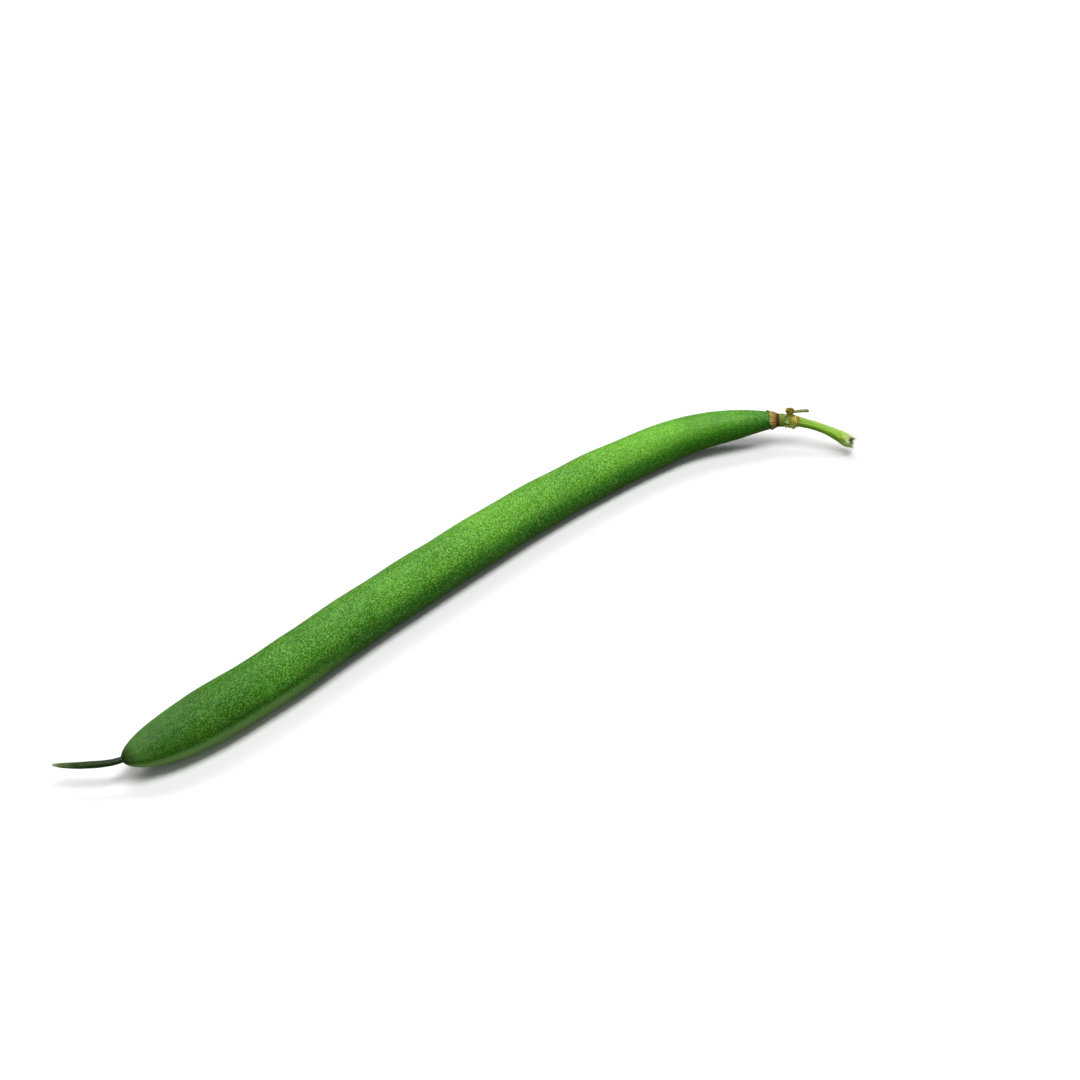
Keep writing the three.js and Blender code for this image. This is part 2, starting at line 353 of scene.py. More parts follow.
def pod_relief(s, angle, radius):
    """How far the skin stands out from the plain tube."""
    in_body = step(s, *BODY_BEGINS) * (1 - step(s, *BODY_ENDS))
    in_neck = step(s, *NECK_BEGINS) * (1 - step(s, *NECK_ENDS))
    in_beak = 1 - step(s, *BEAK_ENDS)
    in_skin = step(s, *SKIN_BEGINS)
    flank = np.abs(np.sin(angle))
    from_seam = radius * np.arcsin(np.minimum(1, flank))
    valley = SEAM_DEPTH * bell(from_seam, SEAM_WIDTH)
    valley = valley - CORD_HEIGHT * bell(from_seam - CORD_FROM_SEAM, CORD_WIDTH)
    valley = valley * (1 - SEAM_LOSS * step(s, *SEAM_FLATTENS))
    grown = straightened(s, radius, angle)
    bumps = BUMP_HEIGHT * wander(grown, BUMP_SIZE) + DIMPLE_HEIGHT * wander(grown + 40, DIMPLE_SIZE)
    ridges = wander(grown, RIDGE_SIZE)
    pleats = 0.5 + 0.5 * np.cos(PUCKER_COUNT * angle + 0.7 * np.sin(2 * angle))
    relief = in_body * (seed_swell(s) * flank ** 1.5 - valley)
    relief = relief + bumps * in_skin * (1 - step(s, *SKIN_ENDS))
    relief = relief + ridges * (RIDGE_HEIGHT * in_skin + NECK_RIDGE_HEIGHT * in_neck)
    relief = relief - PUCKER_DEPTH * bell(s - PUCKER_AT, PUCKER_REACH) * pleats
    wrinkles = BEAK_WRINKLE * wander(grown, BEAK_WRINKLE_SIZE)
    wrinkles = wrinkles + BEAK_RIB * np.cos(BEAK_RIBS * angle + 0.4 * s)
    return relief + in_beak * radius * wrinkles


pod_s = rows_between(-BEAK_LENGTH, POD_LENGTH + STIPE_LENGTH, POD_ROWS, ROW_CROWDING)[:, None]
turn = np.linspace(0, 2 * np.pi, POD_COLUMNS, endpoint=False)[None, :]
pod_angle = turn - COLUMN_CROWDING * np.sin(2 * turn)  # the columns crowd at the seams
pod_radii = pod_radius(pod_s)
skin_radius = pod_radii + pod_relief(pod_s, pod_angle, pod_radii)
axis, along, side, up = axis_at(pod_s, ROLL)
across = (skin_radius * SEAM_TO_SEAM * np.cos(pod_angle))[..., None]
over = (skin_radius / SEAM_TO_SEAM * np.sin(pod_angle))[..., None]
pod_grid = axis + across * side + over * up
pod_grid[..., 2] = np.maximum(pod_grid[..., 2], 0)  # the skin flattens on the table
pod_points, pod_faces = closed_skin(pod_grid, axis[0, 0], axis[-1, 0])
pod_grown = straightened(pod_s, skin_radius, pod_angle).reshape(-1, 3)
pod_grown = np.concatenate([pod_grown, [(-BEAK_LENGTH, 0, 0), (POD_LENGTH + STIPE_LENGTH, 0, 0)]])

# Fresh bean skin: a thin waxy cuticle over green flesh, under a fine short down. The wax gives a broad soft
# shine that the down breaks into a fine sparkle, and the down lightens the skin where it turns away. Glints,
# a sheen, a reflection and a shade are also painted into its colour.
POD_GREENS = [
    (-10.3, "#c0cc9e"), (-9.3, "#6e7e4c"), (-7, "#2d4217"), (-3, "#22380e"), (-0.4, "#131f05"),
    (0.4, "#2a4612"), (1.6, "#437226"), (5, "#346a12"), (20, "#428418"), (48, "#5ba924"),
    (80, "#70c030"), (112, "#70be30"), (130, "#63ad2c"), (138.6, "#509528"),
]
# Painted shade: the tint that darkens the lower flank of the pod.
PAINTED_SHADE_TINT = (0.3, 0.55, 0.2, 1)  # how the shaded lower flank dims red, green and blue
TUFT_AND_GLINT_GREEN = "#b4d890"
FLOOR_REFLECTION_GREEN = "#a0c884"
THREAD_GREEN = "#1f4a0e"
PAINTED_SHEEN_GREEN = "#6a9c50"
SCAR_GREEN = "#b9cf8c"
SHEEN_GREEN = "#dcecc8"
PEBBLE_SIZE = 0.2  # the cells of the skin are finer than this, and drawn coarser so that they show
DOWN_SPACING = 0.9  # tufts of down, which is itself too fine to show
MOTTLE_SIZE = 9
STREAK_WIDTH = 0.7
STREAK_LENGTH = 14
SCAR_SPACING = 5
bean_skin, tree, shader = material("fresh bean skin")
grown = node(tree, "Attribute", attribute_name="grown").outputs["Vector"]
place = node(tree, "SeparateXYZ", {"Vector": grown})
along_pod = place.outputs["X"]
share = node(tree, "MapRange", {"Value": along_pod, "From Min": -BEAK_LENGTH, "From Max": POD_LENGTH})
greens = node(tree, "ValToRGB", {"Fac": share}, stops=[
    ((at + BEAK_LENGTH) / (POD_LENGTH + BEAK_LENGTH), linear(green)) for at, green in POD_GREENS
])
mottle = node(tree, "TexNoise", {
    "Vector": grown, "Scale": 1 / MOTTLE_SIZE, "Detail": 3, "Roughness": 0.55,
})
streak_shape = (STREAK_WIDTH / STREAK_LENGTH, 1, 1)
stretched = node(tree, "VectorMath", {0: grown, 1: streak_shape}, operation="MULTIPLY")
streaks = node(tree, "TexNoise", {"Vector": stretched, "Scale": 1 / STREAK_WIDTH, "Detail": 2})
down = node(tree, "TexNoise", {
    "Vector": grown, "Scale": 1 / DOWN_SPACING, "Detail": 3, "Roughness": 0.6,
})
cells = node(tree, "TexVoronoi", {"Vector": grown, "Scale": 1 / PEBBLE_SIZE})
pebbles = node(tree, "MapRange", {
    "Value": cells, "From Min": 0.05, "From Max": 0.6, "To Min": 1, "To Max": 0,
})
each_cell = node(tree, "SeparateXYZ", {"Vector": cells.outputs["Color"]})
uneven = node(tree, "Math", {0: pebbles, 1: each_cell}, operation="ADD")  # each cell has its own tone
yellower = node(tree, "MapRange", {"Value": mottle, "To Min": 0.507, "To Max": 0.493})
lighter = node(tree, "MapRange", {
    "Value": mottle, "From Min": 0.3, "From Max": 0.7, "To Min": 0.86, "To Max": 1.14,
})
colour = node(tree, "HueSaturation", {"Color": greens, "Hue": yellower, "Value": lighter})
streaked = node(tree, "MapRange", {
    "Value": streaks, "From Min": 0.3, "From Max": 0.7, "To Min": 0.93, "To Max": 1.07,
})
colour = node(tree, "HueSaturation", {"Color": colour, "Value": streaked})
# Painted shade: the lower flank of the fuller part is painted a darker, deeper green, as if in shadow.
lower = node(tree, "MapRange", {
    "Value": place.outputs["Z"], "From Min": 2.3, "From Max": 0,
}, interpolation_type="SMOOTHSTEP")
fuller = node(tree, "MapRange", {"Value": along_pod, "From Min": 22, "From Max": 50})
painted_shade = node(tree, "Math", {0: lower, 1: fuller}, operation="MULTIPLY")
colour = node(tree, "MixRGB", {
    "Fac": painted_shade, "Color1": colour, "Color2": PAINTED_SHADE_TINT,
}, blend_type="MULTIPLY")
# The cells show less towards both ends. Where they show most, light specks are painted on them: partly the
# pale down, partly painted glints where the light would catch it.
grainy = node(tree, "MapRange", {"Value": along_pod, "From Min": -1, "From Max": 12, "To Min": 0.4})
smoother = node(tree, "MapRange", {
    "Value": along_pod, "From Min": 100, "From Max": 125, "To Min": 1, "To Max": 0.5,
})
grainy = node(tree, "Math", {0: grainy, 1: smoother}, operation="MULTIPLY")
speckled = node(tree, "MapRange", {
    "Value": uneven, "From Min": 0.2, "From Max": 1.7, "To Min": 0.4, "To Max": 1.6,
})
colour = node(tree, "HueSaturation", {"Color": colour, "Fac": grainy, "Value": speckled})
tufts_and_glints_along = node(tree, "MapRange", {"Value": along_pod, "From Min": 6, "From Max": 46, "To Min": 0.2})
tufts_and_glints = node(tree, "MapRange", {
    "Value": uneven, "From Min": 0.9, "From Max": 1.7, "To Min": 0, "To Max": 0.72,
})
tufts_and_glints = node(tree, "Math", {0: tufts_and_glints, 1: tufts_and_glints_along}, operation="MULTIPLY")
tufts_and_glints = node(tree, "Math", {0: tufts_and_glints, 1: grainy}, operation="MULTIPLY")
colour = node(tree, "MixRGB", {"Fac": tufts_and_glints, "Color1": colour, "Color2": linear(TUFT_AND_GLINT_GREEN)})
# Towards the blossom end a darker thread runs along the seams, and the underside below them is painted
# lighter: a painted reflection of the pale table.
from_seam = node(tree, "Math", {0: place.outputs["Z"]}, operation="ABSOLUTE")
begun = node(tree, "MapRange", {"Value": along_pod, "From Min": 7, "From Max": 15})
faded = node(tree, "MapRange", {
    "Value": along_pod, "From Min": 27, "From Max": 42, "To Min": 1, "To Max": 0,
})
thread = node(tree, "MapRange", {
    "Value": from_seam, "From Min": 0.05, "From Max": 0.6, "To Min": 0.5, "To Max": 0,
})
thread = node(tree, "Math", {0: thread, 1: begun}, operation="MULTIPLY")
thread = node(tree, "Math", {0: thread, 1: faded}, operation="MULTIPLY")
painted_reflection = node(tree, "MapRange", {
    "Value": place.outputs["Z"], "From Min": -0.4, "From Max": -1.2, "To Max": 0.65,
})
painted_reflection = node(tree, "Math", {0: painted_reflection, 1: faded}, operation="MULTIPLY")
colour = node(tree, "MixRGB", {"Fac": painted_reflection, "Color1": colour, "Color2": linear(FLOOR_REFLECTION_GREEN)})
colour = node(tree, "MixRGB", {"Fac": thread, "Color1": colour, "Color2": linear(THREAD_GREEN)})
# Painted sheen: on the upper and back side of the blossom end the skin is painted lighter, a painted rim of
# light.
sheen_side = node(tree, "MapRange", {
    "Value": place.outputs["Y"], "From Min": -1.4, "From Max": 2, "To Max": 0.55,
})
at_end = node(tree, "MapRange", {
    "Value": along_pod, "From Min": 8, "From Max": 18, "To Min": 1, "To Max": 0,
})
past_beak = node(tree, "MapRange", {"Value": along_pod, "From Min": 0, "From Max": 2.5})
painted_sheen = node(tree, "Math", {0: sheen_side, 1: at_end}, operation="MULTIPLY")
painted_sheen = node(tree, "Math", {0: painted_sheen, 1: past_beak}, operation="MULTIPLY")
colour = node(tree, "MixRGB", {"Fac": painted_sheen, "Color1": colour, "Color2": linear(PAINTED_SHEEN_GREEN)})
# Small pale scars, where the skin was rubbed on the plant.
scars = node(tree, "TexVoronoi", {"Vector": grown, "Scale": 1 / SCAR_SPACING})
scarred = node(tree, "MapRange", {
    "Value": scars, "From Min": 0.03, "From Max": 0.06, "To Min": 0.55, "To Max": 0,
})
colour = node(tree, "MixRGB", {"Fac": scarred, "Color1": colour, "Color2": linear(SCAR_GREEN)})
tree.links.new(colour.outputs[0], shader.inputs["Base Color"])
dullness = node(tree, "MapRange", {
    "Value": mottle, "From Min": 0.3, "From Max": 0.7, "To Min": 0.27, "To Max": 0.37,
})
tree.links.new(dullness.outputs[0], shader.inputs["Roughness"])
relief = node(tree, "Bump", {"Height": streaks, "Distance": 0.02 * MM, "Strength": 1})
relief = node(tree, "Bump", {"Height": down, "Distance": 0.07 * MM, "Strength": 1, "Normal": relief})
relief = node(tree, "Bump", {
    "Height": pebbles, "Distance": 0.07 * MM, "Strength": grainy, "Normal": relief,
})
tree.links.new(relief.outputs[0], shader.inputs["Normal"])
shader.inputs["IOR"].default_value = 1.4
shader.inputs["Specular IOR Level"].default_value = 0.27
shader.inputs["Subsurface Weight"].default_value = 0.05
shader.inputs["Subsurface Radius"].default_value = (0.5, 1, 0.25)
shader.inputs["Subsurface Scale"].default_value = 0.6 * MM
shader.inputs["Sheen Weight"].default_value = 0.07
shader.inputs["Sheen Roughness"].default_value = 0.35
shader.inputs["Sheen Tint"].default_value = linear(SHEEN_GREEN)
piece("pod", pod_points, pod_faces, {"grown": pod_grown}, bean_skin, "pod")


# The calyx: the small leaves that held the flower, dried to a thin papery brown cup. It grew round the pod's
# foot and shrank there. Its lobes cling to the pod's end, longest on the upper side.
CALYX_LENGTH = 1.5
JOINT_GAP = 0.3
CALYX_START = POD_LENGTH + JOINT_GAP
CALYX_GIRTH = [(-1.2, 3.86), (-0.3, 3.5), (0.3, 3.26), (0.9, 2.98), (1.3, 2.6), (1.5, 2.36)]
SEPAL_THICKNESS = [(-1.2, 0.1), (0, 0.17), (1, 0.7)]
LOBES = [
    # the angle of its middle in degrees from the side, its half width in degrees, its length
    (105, 30, 0.0), (150, 32, 0.14), (38, 36, 0.3), (310, 34, 0.0),
]
MOUTH_REACH = -0.3  # how far the mouth reaches over the pod between its lobes
MOUTH_TILT = 0.2  # how much farther it reaches on its upper side
MOUTH_UPPER = math.radians(105)  # where that is
LOBE_LIFT = 0.14  # how far the upper lobe stands off the pod
SOCKET_DEPTH = 0.95
SEPAL_ROOT = 0.2  # how far the cup's back runs over the start of the stalk
FRAY = 0.05
FRAY_SIZE = (1, 0.25, 0.25)
CUP_RIBS = 23
CUP_RIB_HEIGHT = 0.035
CRUMPLE = 0.09
CRUMPLE_SIZE = (0.8, 0.5, 0.5)
CREASE = 0.05
CREASE_SIZE = (0.3, 0.2, 0.2)
CALYX_COLUMNS = 180
FLOOR_ROWS = 5
INNER_ROWS = 16
OUTER_ROWS = 56
BACK_ROWS = 6


def turned_from(angle, degrees):
    """How far angle is turned from a direction in degrees, between minus and plus half a turn."""
    return (angle - math.radians(degrees) + np.pi) % (2 * np.pi) - np.pi


def share_off(angle, middle, half_width):
    """0 in the middle of a lobe and 1 at its foot and past it. Its middle and half width are in degrees."""
    return np.minimum(np.abs(turned_from(angle, middle)) / math.radians(half_width), 1)


def mouth(angle):
    """How far along the axis the cup's edge is, measured from the cup's start."""
    reach = MOUTH_REACH + MOUTH_TILT * np.cos(angle - MOUTH_UPPER)
    for middle, half_width, length in LOBES:
        lobe = 1 - share_off(angle, middle, half_width) ** 3
        reach = np.maximum(reach, MOUTH_REACH + (length - MOUTH_REACH) * lobe)
    return -reach


calyx_angle = np.linspace(0, 2 * np.pi, CALYX_COLUMNS, endpoint=False)[None, :]
edge = mouth(calyx_angle) + FRAY * wander(straightened(0, 1.6, calyx_angle), FRAY_SIZE)
cup_end = CALYX_LENGTH + SEPAL_ROOT
floor_t = np.full((FLOOR_ROWS, CALYX_COLUMNS), SOCKET_DEPTH)
inner_t = SOCKET_DEPTH + (edge - SOCKET_DEPTH) * np.linspace(0, 1, INNER_ROWS)[:, None]
outer_t = edge + (cup_end - edge) * np.linspace(0, 1, OUTER_ROWS)[:, None]
back_t = np.full((BACK_ROWS, CALYX_COLUMNS), cup_end)
inner_r = through(CALYX_GIRTH, inner_t) / 2 - through(SEPAL_THICKNESS, inner_t)
outer_r = through(CALYX_GIRTH, outer_t) / 2
floor_r = inner_r[0] * np.linspace(0.2, 0.9, FLOOR_ROWS)[:, None]
back_r = outer_r[-1] * np.linspace(0.92, 0.15, BACK_ROWS)[:, None]
calyx_t = np.concatenate([floor_t, inner_t, outer_t, back_t])
calyx_r = np.concatenate([floor_r, inner_r, outer_r, back_r])
calyx_grown = straightened(calyx_t, calyx_r, calyx_angle)
on_wall = np.zeros_like(calyx_t)
on_wall[FLOOR_ROWS:-BACK_ROWS] = 1
ribs = np.sin(CUP_RIBS * calyx_angle + 2 * np.sin(3 * calyx_angle))
ribs = CUP_RIB_HEIGHT * ribs * (1 - step(calyx_t, 0.8, 1.4))
crumple = CRUMPLE * wander(calyx_grown, CRUMPLE_SIZE) + CREASE * wander(calyx_grown + 9, CREASE_SIZE)
crumple = crumple * step(calyx_t, -1.2, -0.2)
curl = LOBE_LIFT * step(-calyx_t, -0.5, 0.2) * step(np.sin(calyx_angle + 0.3), 0.3, 0.95)
calyx_skin_r = calyx_r + on_wall * (ribs + crumple + curl)
axis, along, side, up = axis_at(CALYX_START + calyx_t)
across = (calyx_skin_r * np.cos(calyx_angle))[..., None]
over = (calyx_skin_r * np.sin(calyx_angle))[..., None]
calyx_points, calyx_faces = closed_skin(axis + across * side + over * up, axis[0, 0], axis[-1, 0])
calyx_mask = np.concatenate([calyx_grown.reshape(-1, 3), [(SOCKET_DEPTH, 0, 0), (CALYX_LENGTH, 0, 0)]])

# Dried sepal: thin, matt and papery, straw-coloured at its edges, tan to rust on the cup, and dark where it
# joins the stalk.
SEPAL_BROWNS = [
    (-1.1, "#dcd09a"), (-0.5, "#d2c284"), (0, "#bcaa64"), (0.5, "#ac904c"), (1.0, "#966e38"),
    (1.3, "#62401e"), (1.6, "#422e18"),
]
SEPAL_BLOTCH_SIZE = 0.8
VEIN_WIDTH = 0.14
VEIN_STRETCH = 0.15
dry_sepal, tree, shader = material("dry sepal")
grown = node(tree, "Attribute", attribute_name="grown").outputs["Vector"]
place = node(tree, "SeparateXYZ", {"Vector": grown})
blotches = node(tree, "TexNoise", {
    "Vector": grown, "Scale": 1 / SEPAL_BLOTCH_SIZE, "Detail": 4, "Roughness": 0.6,
})
shifted = node(tree, "MapRange", {
    "Value": blotches, "From Min": 0.3, "From Max": 0.7, "To Min": -0.3, "To Max": 0.3,
})
along_cup = node(tree, "Math", {0: place.outputs["X"], 1: shifted}, operation="ADD")
cup_tip, cup_root = SEPAL_BROWNS[0][0], SEPAL_BROWNS[-1][0]
share = node(tree, "MapRange", {"Value": along_cup, "From Min": cup_tip, "From Max": cup_root})
browns = node(tree, "ValToRGB", {"Fac": share}, stops=[
    ((at - cup_tip) / (cup_root - cup_tip), linear(tone)) for at, tone in SEPAL_BROWNS
])
fine = node(tree, "VectorMath", {0: grown, 1: (VEIN_STRETCH, 1, 1)}, operation="MULTIPLY")
veins = node(tree, "TexNoise", {"Vector": fine, "Scale": 1 / VEIN_WIDTH, "Detail": 2})
veined = node(tree, "MapRange", {
    "Value": veins, "From Min": 0.3, "From Max": 0.7, "To Min": 0.65, "To Max": 1.3,
})
colour = node(tree, "HueSaturation", {"Color": browns, "Value": veined})
tree.links.new(colour.outputs[0], shader.inputs["Base Color"])
relief = node(tree, "Bump", {"Height": veins, "Distance": 0.05 * MM, "Strength": 1})
tree.links.new(relief.outputs[0], shader.inputs["Normal"])
shader.inputs["Roughness"].default_value = 0.85
shader.inputs["Specular IOR Level"].default_value = 0.25
piece("calyx", calyx_points, calyx_faces, {"grown": calyx_mask}, dry_sepal, "calyx")


# The stalk: the bean's own short stalk, a warty node with a brown corky ring, and a piece of the main stalk
# that was torn off the plant. It is one green stem, ribbed lengthwise, with a pale pith.
STALK_START = CALYX_START + CALYX_LENGTH + JOINT_GAP
STALK_LENGTH = 13
STALK_GIRTH = [
    (0, 2.3), (0.9, 2.3), (1.6, 2.1), (2.3, 2.15), (2.9, 1.95), (3.4, 1.75), (6, 1.56), (8.6, 1.62),
    (10.4, 1.9), (12.2, 2.25), (13, 1.8),
]
STEM_BEGINS = (3.2, 4.2)
NODE_BEGINS = (0.9, 1.2)
NODE_ENDS = (3.4, 4)
END_BEGINS = (9.8, 11.6)
STALK_RIBS = 5
STALK_RIB_HEIGHT = 0.055  # a share of the radius
STALK_STREAK_HEIGHT = 0.05
STALK_STREAK_SIZE = (5, 0.35, 0.35)
FINE_RING_HEIGHT = 0.02
FINE_RING_SPACING = 0.3
WAIST = 0.98  # where the bean's own stalk joins the node, in a groove
WAIST_DEPTH = 0.12
NODE_LUMP_HEIGHT = 0.07
NODE_LUMP_SIZE = 0.7
END_LUMP_HEIGHT = 0.13
END_LUMP_SIZE = (0.9, 0.6, 0.6)
RING_START = 2.15
RING_END = 3.45
RING_HEIGHT = 0.06
RING_GROOVES = (2.3, 2.62, 2.95, 3.3)
GROOVE_DEPTH = 0.06
GROOVE_WIDTH = 0.05
WARTS = [
    # distance along the stalk, degrees from the side, width, height
    (1.2, 168, 0.24, 0.26), (1.5, 154, 0.2, 0.2), (1.62, 176, 0.2, 0.22), (1.3, 142, 0.17, 0.15),
    (1.15, 95, 0.3, 0.2), (1.7, 120, 0.22, 0.16), (1.3, 215, 0.36, 0.34), (2.0, 205, 0.24, 0.2),
    (2.7, 232, 0.42, 0.42), (1.9, 250, 0.3, 0.26), (1.4, 290, 0.34, 0.22), (2.1, 330, 0.3, 0.25),
    (1.3, 20, 0.34, 0.26), (2.2, 45, 0.24, 0.2),
]
TORN_TIPS = [
    # the angle of its middle in degrees from the side, its half width in degrees, how far it reaches out,
    # or below 0 how far it is torn back
    (215, 46, 0.5), (72, 22, 0.42), (28, 24, 0.25), (285, 30, 0.3), (330, 22, 0.15), (122, 36, -0.4),
]
TORN_LENGTH = 1.6
HOLLOW_DEPTH = 1.3
HOLLOW_ROWS = 23
PIT_AT = 10.9  # a small dark pit in the stalk
PIT_TURN = 140
PIT_SIZE = 0.16
STALK_ROWS = 330
STALK_COLUMNS = 132

stalk_run = np.linspace(-JOINT_GAP + 0.02, STALK_LENGTH, STALK_ROWS)[:, None]
stalk_angle = np.linspace(0, 2 * np.pi, STALK_COLUMNS, endpoint=False)[None, :]


def stalk_skin(run, angle):
    """The stalk's radius with its relief, and masks for its brown, pale, warty and rusty skin."""
    radius = through(STALK_GIRTH, run) / 2
    grown = straightened(run, radius, angle)
    on_stem = step(run, *STEM_BEGINS)
    on_node = step(run, *NODE_BEGINS) * (1 - step(run, *NODE_ENDS))
    in_ring = step(run, RING_START - 0.12, RING_START + 0.1)
    in_ring = in_ring * (1 - step(run, RING_END - 0.08, RING_END + 0.08))
    ridge = np.cos(STALK_RIBS * angle - 2 + 0.04 * run)
    relief = STALK_RIB_HEIGHT * radius * ridge * on_stem
    relief = relief + STALK_STREAK_HEIGHT * wander(grown, STALK_STREAK_SIZE) * (0.25 + on_stem)
    relief = relief - WAIST_DEPTH * bell(run - WAIST, 0.1) - 0.05 * bell(run + 0.1, 0.12)
    # Fine rings on the bean's own stalk, then the corky ring, the lumpy node and the uneven broken end.
    fine_rings = np.cos(2 * np.pi * run / FINE_RING_SPACING) * (1 - step(run, 0.7, 1.0))
    relief = relief + FINE_RING_HEIGHT * fine_rings
    relief = relief + in_ring * (RING_HEIGHT + 0.04 * wander(grown, (0.4, 0.5, 0.5)))
    rust = bell(run - RING_END, 0.09)
    for groove in RING_GROOVES:
        from_groove = run - groove - 0.05 * np.sin(2 * angle)
        relief = relief - in_ring * GROOVE_DEPTH * bell(from_groove, GROOVE_WIDTH)
        rust = np.maximum(rust, 0.55 * bell(from_groove, 0.06))
    relief = relief + NODE_LUMP_HEIGHT * wander(grown + 5, NODE_LUMP_SIZE) * on_node
    relief = relief + END_LUMP_HEIGHT * wander(grown + 21, END_LUMP_SIZE) * step(run, *END_BEGINS)
    pit = bell(np.hypot(run - PIT_AT, radius * turned_from(angle, PIT_TURN)), PIT_SIZE)
    relief = relief - PIT_SIZE * pit
    warts = np.zeros_like(relief)
    for at, degrees, width, height in WARTS:
        apart = np.hypot(run - at, radius * turned_from(angle, degrees))
        warts = np.maximum(warts, height * bell(apart, width))
    below = step(-np.sin(angle), 0.1, 0.6)
    brown = np.maximum(in_ring, below * step(run, 0.95, 1.2) * (1 - step(run, 3.3, 3.6)))
    brown = np.maximum(brown, 0.8 * pit)
    # Painted light: the cream ribs are painted lighter on the upper side of the stalk, where the light
    # falls.
    painted_top_light = 0.15 + 0.45 * step(np.sin(angle), 0.45, 0.95)
    pale = on_stem * step(ridge, -0.4, 0.9) * painted_top_light * (1 - 0.7 * step(run, 11.6, 13))
    return radius + relief + warts, brown, pale, warts, rust * in_ring


stalk_r, stalk_brown, stalk_pale, stalk_warts, stalk_rust = stalk_skin(stalk_run, stalk_angle)
torn = step(stalk_run, STALK_LENGTH - TORN_LENGTH, STALK_LENGTH)
jagged = 0.2 * wander(straightened(3, 2, stalk_angle), 0.33)
jagged = jagged + 0.15 * wander(straightened(8, 2, stalk_angle), 0.15)
for middle, half_width, length in TORN_TIPS:
    jagged = jagged + length * (1 - share_off(stalk_angle, middle, half_width) ** 2)
inside_share = np.linspace(0, 1, HOLLOW_ROWS + 1)[1:, None]
inside_run = STALK_LENGTH - HOLLOW_DEPTH * inside_share
inside_r = stalk_r[-1:] * (0.86 - 0.5 * inside_share ** 0.6)
inside_r = inside_r + 0.07 * wander(straightened(inside_run, inside_r, stalk_angle), (0.8, 0.22, 0.22))
all_run = np.concatenate([stalk_run, inside_run])
all_r = np.concatenate([stalk_r, inside_r])
pulled = np.concatenate([torn * jagged, (1 - inside_share) ** 2 * jagged])[..., None]
axis, along, side, up = axis_at(STALK_START + all_run)
across = (all_r * np.cos(stalk_angle))[..., None]
over = (all_r * np.sin(stalk_angle))[..., None]
stalk_grid = axis + across * side + over * up + pulled * along
stalk_points, stalk_faces = closed_skin(stalk_grid, axis[0, 0], axis[-1, 0])
stalk_grown = straightened(all_run, all_r, stalk_angle).reshape(-1, 3)


def over_stalk(outside, inside, ends):
    """A mask over the stalk's points: those of its skin, of its torn inside and of its two ends."""
    inside = np.broadcast_to(inside, inside_r.shape)
    return np.concatenate([outside.ravel(), inside.ravel(), ends])


masks = {
    "grown": np.concatenate([stalk_grown, [(0, 0, 0), (STALK_LENGTH - HOLLOW_DEPTH, 0, 0)]]),
    "brown": over_stalk(stalk_brown, 0, [0, 0]),
    "rust": over_stalk(stalk_rust, 0, [0, 0]),
    "pale": over_stalk(stalk_pale, 1, [0, 0]),
    # Painted shade: the torn inside gets darker with depth.
    "hollow_shade": over_stalk(np.zeros_like(stalk_r), inside_share ** 2, [0, 1]),
    "wart": over_stalk(stalk_warts, 0, [0, 0]),
}

# The spur that carries the bud, a short wrinkled cone on the upper side of the node.
SPUR_AT = 1.75
SPUR_ROOT = 0.5
SPUR_HEIGHT = 1.15
SPUR_TIP = SPUR_HEIGHT + 0.28  # inside the bud
SPUR_GIRTH = [(0.5, 1.5), (0.9, 1.2), (1.2, 0.95), (1.5, 0.9)]
SPUR_WRINKLE = 0.05
spur_point, spur_along, spur_side, spur_up = (v[0] for v in axis_at(np.array([STALK_START + SPUR_AT])))


def join(points, faces, masks, more_points, more_faces, more_masks):
    """The second mesh added to the first, with its masks."""
    faces = list(faces) + [[corner + len(points) for corner in face] for face in more_faces]
    points = np.concatenate([points, more_points])
    masks = {name: np.concatenate([values, more_masks[name]]) for name, values in masks.items()}
    return points, faces, masks


def tapered(path, girths, columns, roughness):
    """A closed round twig along a path of points, with its girths, and uneven skin."""
    heading = unit(np.gradient(path, axis=0))
    side = unit(np.cross(heading, (0.31, 0.47, 0.83)))
    up = np.cross(heading, side)
    angle = np.linspace(0, 2 * np.pi, columns, endpoint=False)[None, :]
    radius = girths[:, None] / 2
    across = (radius * np.cos(angle))[..., None]
    over = (radius * np.sin(angle))[..., None]
    rim = path[:, None] + across * side[:, None] + over * up[:, None]
    bulge = roughness * wander(rim, (0.35, 0.35, 0.35))
    rim = rim + bulge[..., None] * unit(rim - path[:, None])
    return closed_skin(rim, path[0], path[-1])


spur_heights = np.linspace(SPUR_ROOT, SPUR_TIP, 26)
spur_path = spur_point + spur_heights[:, None] * spur_up
spur_girths = through(SPUR_GIRTH, spur_heights) + SPUR_WRINKLE * np.sin(spur_heights * 26)
more_points, more_faces = tapered(spur_path, spur_girths, 40, 0.08)
spur_masks = {name: np.zeros(len(more_points)) for name in masks}
spur_masks["grown"] = more_points + (0, 40, 0)
spur_masks["grown"][:, 0] = SPUR_AT
spur_masks["brown"] += 0.8
stalk_points, stalk_faces, masks = join(
    stalk_points, stalk_faces, masks, more_points, more_faces, spur_masks)

